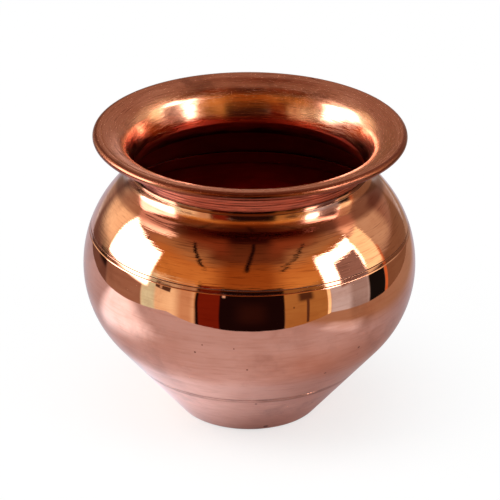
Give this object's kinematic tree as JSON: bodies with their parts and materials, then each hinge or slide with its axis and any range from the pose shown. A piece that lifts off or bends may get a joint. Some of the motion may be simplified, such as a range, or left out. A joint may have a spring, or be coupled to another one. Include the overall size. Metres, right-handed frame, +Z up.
{
  "type": "lota",
  "caption": "Round-bellied copper water vessel with a wide flared mouth, a wired rim and a flat base, for carrying and pouring water.",
  "frame": {"origin": "middle of the flat base, on the surface that the vessel stands on", "axes": "+Z up along the vessel's axis, towards its mouth; +X and +Y are alike, because the vessel is turned"},
  "size_m": [0.12, 0.12, 0.1072],
  "materials": {
    "collar_copper": "polished copper with fine turned lines",
    "wire_copper": "plain drawn copper wire",
    "braze": "brazing metal dressed flush and polished",
    "shoulder_copper": "polished copper with brushed rings",
    "bowl_copper": "mirror-polished copper",
    "base_copper": "polished copper with turned rings"
  },
  "bodies": {
    "root": {"mouth_collar": "collar_copper", "rim_wire": "wire_copper", "neck_braze": "braze", "shoulder_shell": "shoulder_copper", "shoulder_braze": "braze", "bowl_shell": "bowl_copper", "base_braze": "braze", "base_cup": "base_copper"}
  },
  "joints": []
}
